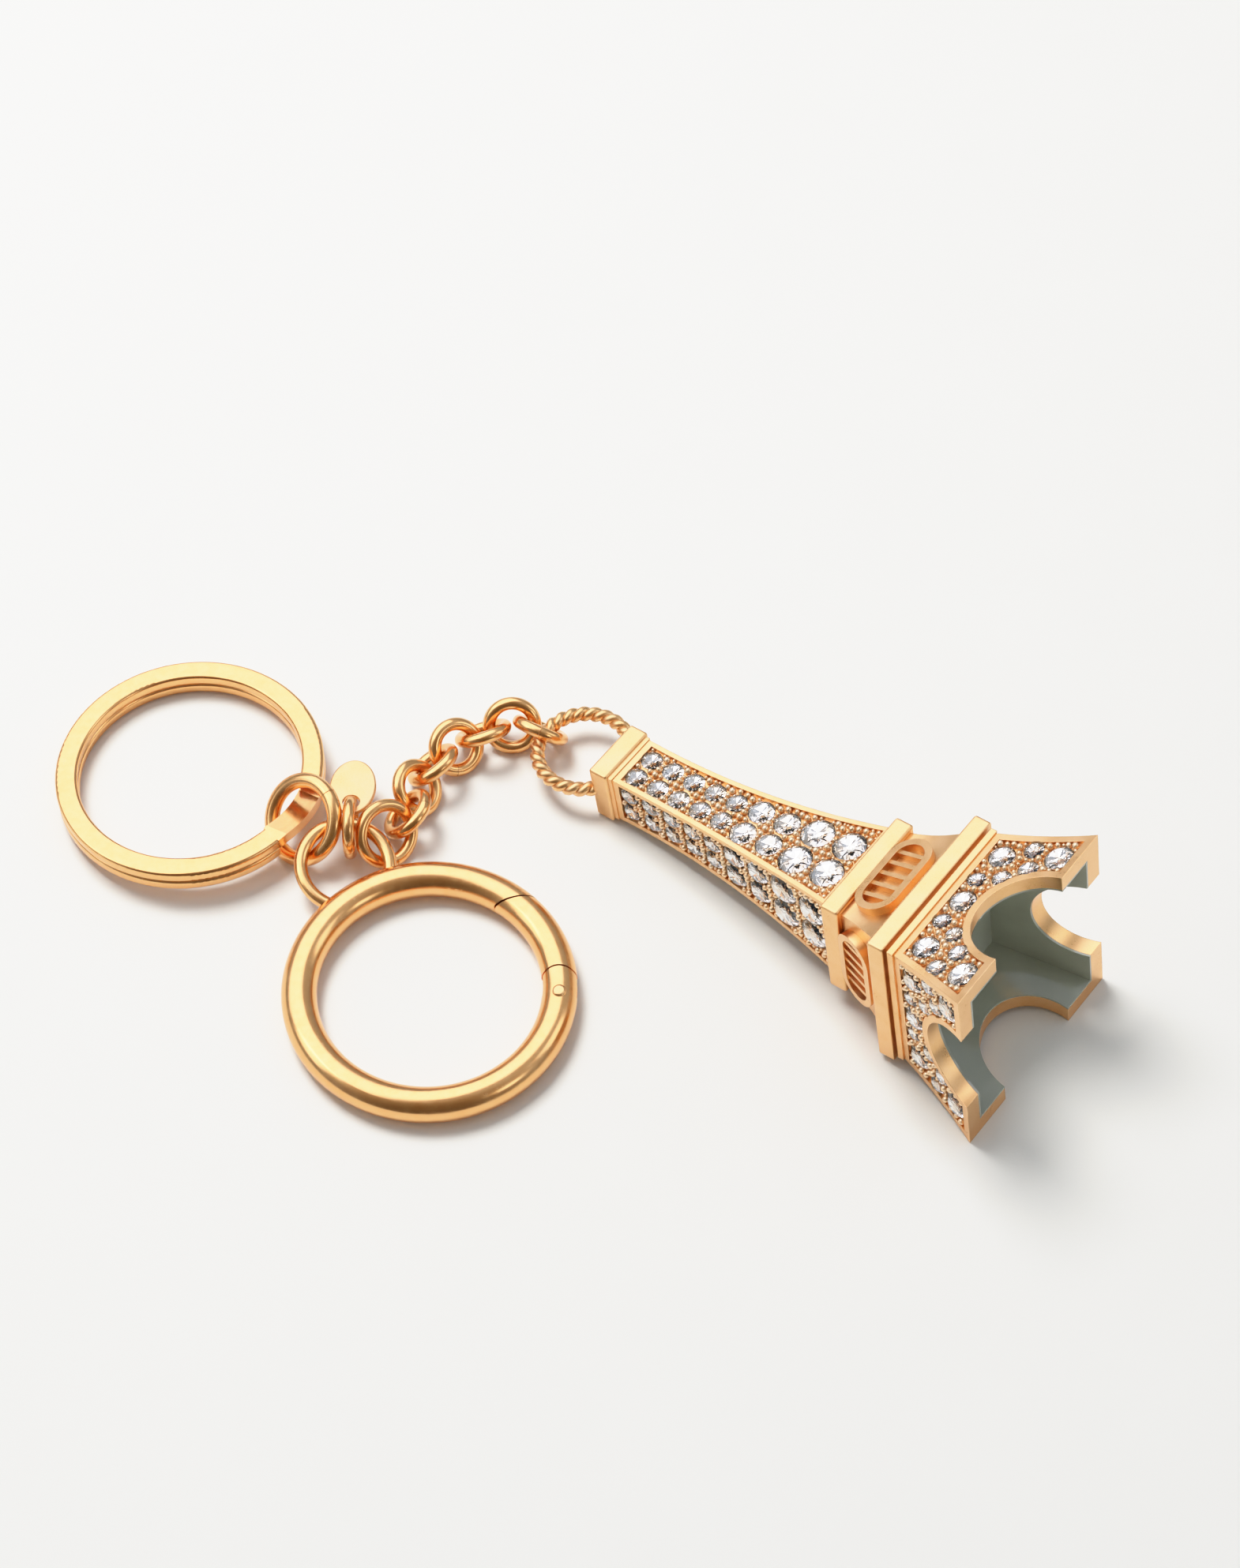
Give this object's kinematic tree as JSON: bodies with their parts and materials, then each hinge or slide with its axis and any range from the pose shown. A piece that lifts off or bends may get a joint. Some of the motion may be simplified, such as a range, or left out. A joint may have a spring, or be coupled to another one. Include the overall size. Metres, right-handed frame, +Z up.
{
  "type": "keychain",
  "caption": "Keychain of a spring gate ring, split ring and short link chain, ending in a lattice-style tower charm set with round crystals, with a plain oval tag.",
  "frame": {"origin": "middle of the laid-out keychain's footprint, on the surface that it lies on", "axes": "+Z up from the table; +X along the longest extent, from the split ring to the tower; the keychain lies flat"},
  "size_m": [0.1228, 0.0642, 0.0267],
  "materials": {
    "polished_gold": "polished gold plate",
    "satin_gold": "satin gold plate, slightly cast surface",
    "crystal": "clear foil-backed facetted crystal",
    "enamel": "glossy grey-green enamel",
    "spring_steel": "plain spring wire"
  },
  "bodies": {
    "gate_ring": {"gate_ring_body": "polished_gold", "ring_eye": "polished_gold", "gate_pivot_pin": "polished_gold", "gate_spring": "spring_steel"},
    "gate": {"gate_arm": "polished_gold"},
    "split_jump_ring": {"split_jump_ring": "polished_gold"},
    "split_ring": {"split_ring": "polished_gold"},
    "tag_ring": {"tag_ring": "polished_gold"},
    "oval_tag": {"oval_tag": "polished_gold"},
    "chain_ring": {"chain_ring": "polished_gold"},
    "chain_link_1": {"chain_link_1": "polished_gold"},
    "chain_link_2": {"chain_link_2": "polished_gold"},
    "chain_link_3": {"chain_link_3": "polished_gold"},
    "chain_link_4": {"chain_link_4": "polished_gold"},
    "chain_link_5": {"chain_link_5": "polished_gold"},
    "chain_link_6": {"chain_link_6": "polished_gold"},
    "chain_link_7": {"chain_link_7": "polished_gold"},
    "tower": {"rope_bail": "satin_gold", "top_cap": "satin_gold", "tower_shaft": "satin_gold", "upper_band": "satin_gold", "middle_block": "satin_gold", "lower_band": "satin_gold", "tower_base": "satin_gold", "enamel_lining": "enamel", "side_ornament_1": "satin_gold", "side_ornament_2": "satin_gold", "side_ornament_3": "satin_gold", "side_ornament_4": "satin_gold", "shaft_crystals_1": "crystal", "shaft_crystals_2": "crystal", "shaft_crystals_3": "crystal", "shaft_crystals_4": "crystal", "base_crystals_1": "crystal", "base_crystals_2": "crystal", "base_crystals_3": "crystal", "base_crystals_4": "crystal"}
  },
  "joints": [
    {"name": "gate_swing", "type": "hinge", "parent": "gate_ring", "child": "gate", "pos_m": [-0.00132, -0.0148, 0.00206], "axis": [0, 0, 1], "range_deg": [0, 50], "stiffness_Nm_per_rad": 0.01, "springref_deg": -5.73},
    {"name": "split_jump_swing", "type": "hinge", "parent": "gate_ring", "child": "split_jump_ring", "pos_m": [-0.02985, 0.00636, 0.00441], "axis": [0.7483, 0.6622, 0.039], "range_deg": [-13, 3.5]},
    {"name": "tag_ring_swing", "type": "hinge", "parent": "gate_ring", "child": "tag_ring", "pos_m": [-0.02597, 0.00769, 0.00417], "axis": [0.987, -0.0672, -0.1463], "range_deg": [-18, 12]},
    {"name": "chain_ring_swing", "type": "hinge", "parent": "gate_ring", "child": "chain_ring", "pos_m": [-0.02168, 0.00465, 0.00295], "axis": [-0.3714, 0.8973, 0.2384], "range_deg": [-2, 42]},
    {"name": "split_ring_swing", "type": "hinge", "parent": "split_jump_ring", "child": "split_ring", "pos_m": [-0.03423, 0.00629, 0.00091], "axis": [0.6148, -0.7887, 0], "range_deg": [-75, 0]},
    {"name": "tag_swing", "type": "hinge", "parent": "tag_ring", "child": "oval_tag", "pos_m": [-0.026, 0.00733, 0.00402], "axis": [0.9997, -0.016, 0.016], "range_deg": [-75, 12]},
    {"name": "chain_link_1_swing", "type": "hinge", "parent": "chain_ring", "child": "chain_link_1", "pos_m": [-0.01933, 0.00921, 0.00335], "axis": [0.4334, -0.4681, -0.7701], "range_deg": [-30, 60]},
    {"name": "chain_link_2_swing", "type": "hinge", "parent": "chain_link_1", "child": "chain_link_2", "pos_m": [-0.0186, 0.01267, 0.00266], "axis": [-0.6921, 0.1995, -0.6937], "range_deg": [-30, 42]},
    {"name": "chain_link_3_swing", "type": "hinge", "parent": "chain_link_2", "child": "chain_link_3", "pos_m": [-0.01728, 0.01618, 0.00264], "axis": [-0.6257, 0.3341, 0.7049], "range_deg": [-34, 62]},
    {"name": "chain_link_4_swing", "type": "hinge", "parent": "chain_link_3", "child": "chain_link_4", "pos_m": [-0.01483, 0.01903, 0.00301], "axis": [-0.4849, 0.5218, -0.7018], "range_deg": [-75, 25]},
    {"name": "chain_link_5_swing", "type": "hinge", "parent": "chain_link_4", "child": "chain_link_5", "pos_m": [-0.0117, 0.02115, 0.00265], "axis": [-0.3767, 0.6004, 0.7054], "range_deg": [-34, 62]},
    {"name": "chain_link_6_swing", "type": "hinge", "parent": "chain_link_5", "child": "chain_link_6", "pos_m": [-0.00817, 0.02245, 0.00304], "axis": [-0.1689, 0.6928, -0.7011], "range_deg": [-50, 38]},
    {"name": "chain_link_7_swing", "type": "hinge", "parent": "chain_link_6", "child": "chain_link_7", "pos_m": [-0.00457, 0.02244, 0.00267], "axis": [0.1183, 0.6005, 0.7909], "range_deg": [-20, 75]},
    {"name": "tower_swing", "type": "hinge", "parent": "chain_link_7", "child": "tower", "pos_m": [-0.00318, 0.02131, 0.00321], "axis": [-0.5514, -0.8342, 0.0063], "range_deg": [-70, 32]}
  ]
}
